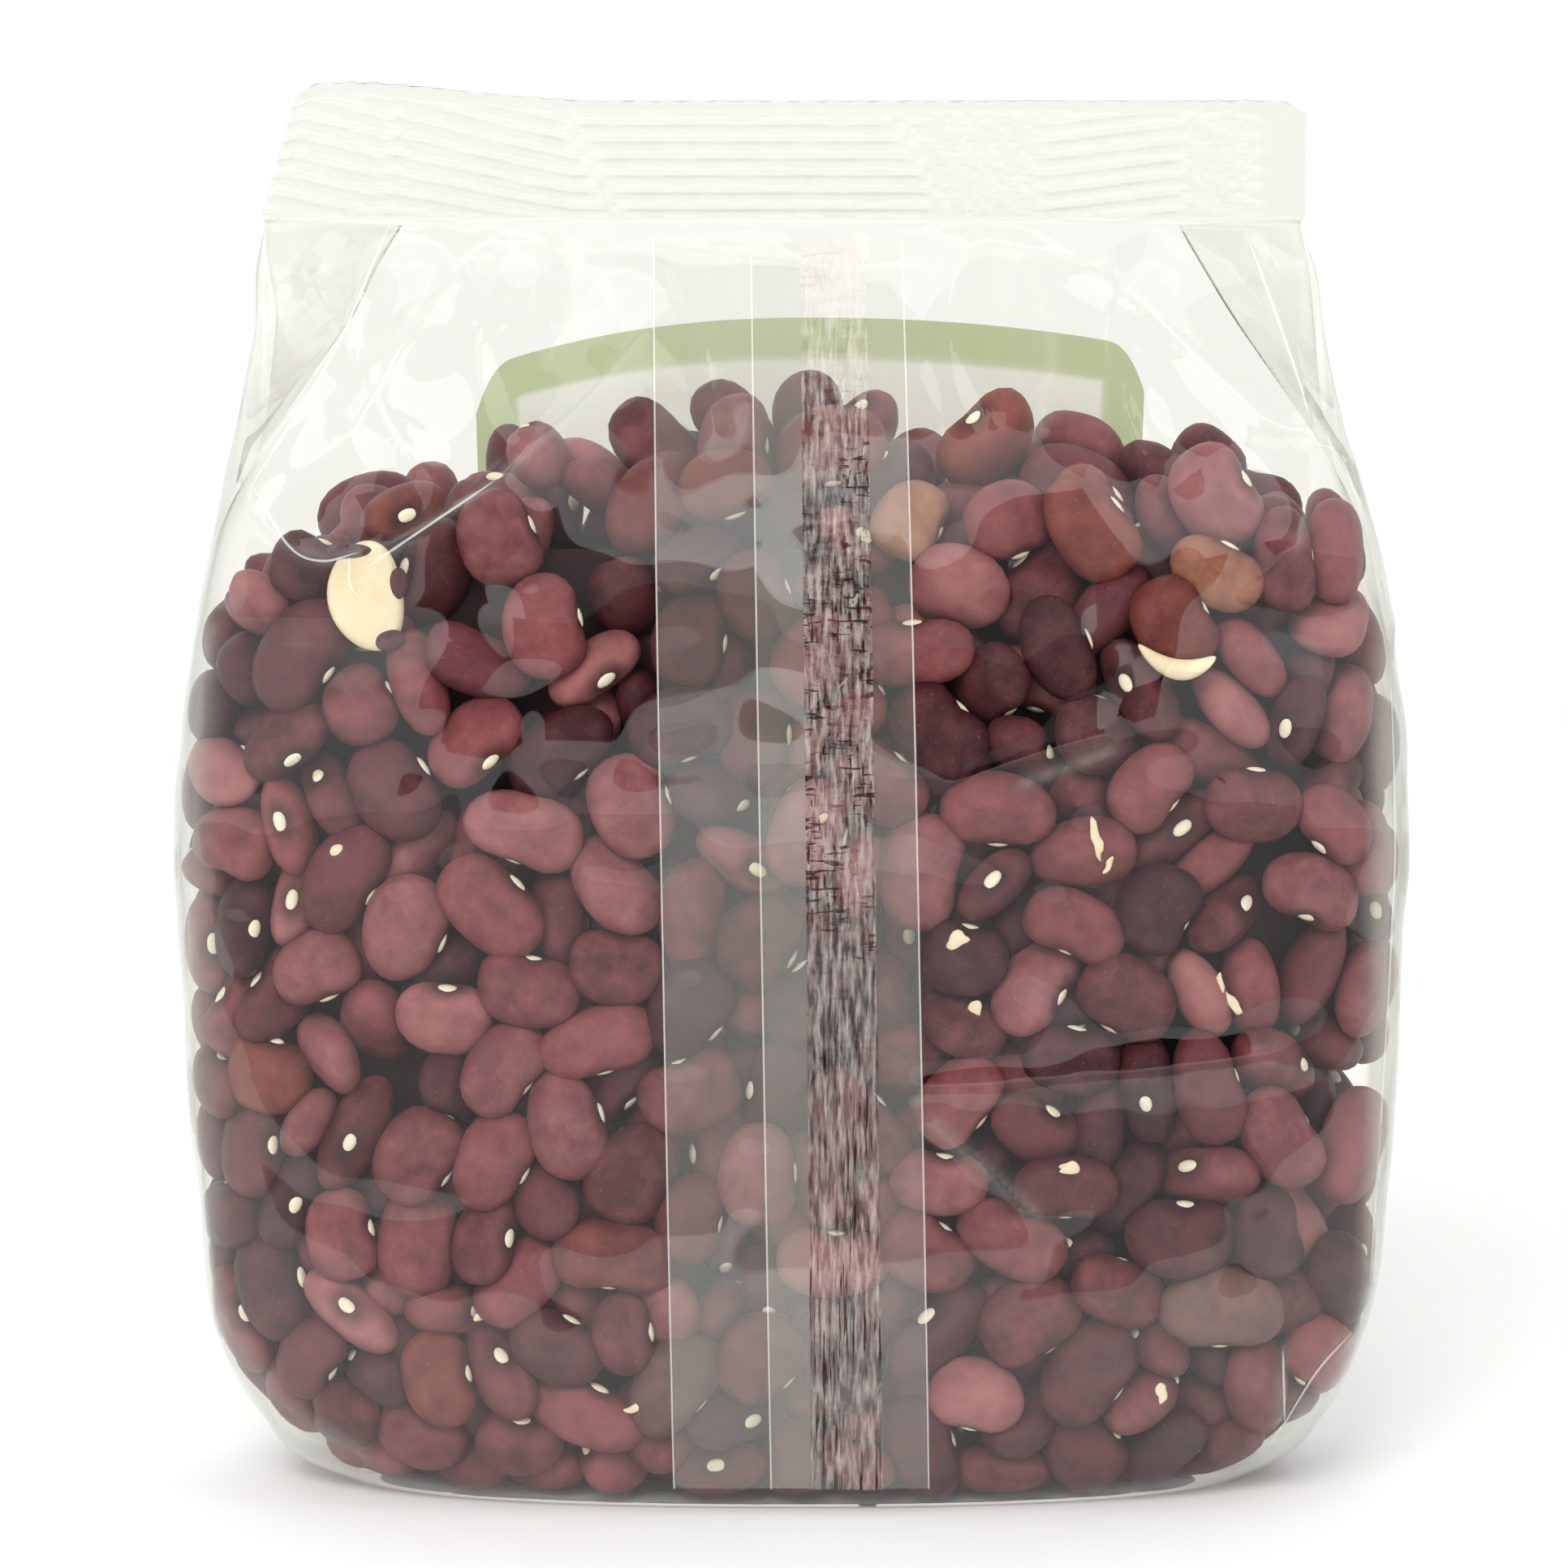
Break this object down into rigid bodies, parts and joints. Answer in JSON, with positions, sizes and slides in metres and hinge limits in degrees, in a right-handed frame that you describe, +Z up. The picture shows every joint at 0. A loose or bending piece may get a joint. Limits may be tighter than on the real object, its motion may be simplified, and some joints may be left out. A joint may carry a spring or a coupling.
{
  "type": "bag of dried beans",
  "caption": "Clear side-gusset film bag full of dried red beans, crimped shut along the top, lap seam up the back, standing on its folded base.",
  "frame": {"origin": "middle of the flat base that the bag stands on", "axes": "+Z up to the crimped seal; -Y faces the lapped back seam, +Y the printed front; X runs across the width"},
  "size_m": [0.1364, 0.0455, 0.1535],
  "materials": {
    "film": "clear glossy film, seen over dark red beans",
    "bean": "satin seed coat, dark red",
    "split_bean": "matt cream inside of a split bean, and the scar on each bean's edge",
    "print": "green and cream ink on the film"
  },
  "bodies": {
    "root": {"bag": "film"}
  },
  "joints": []
}
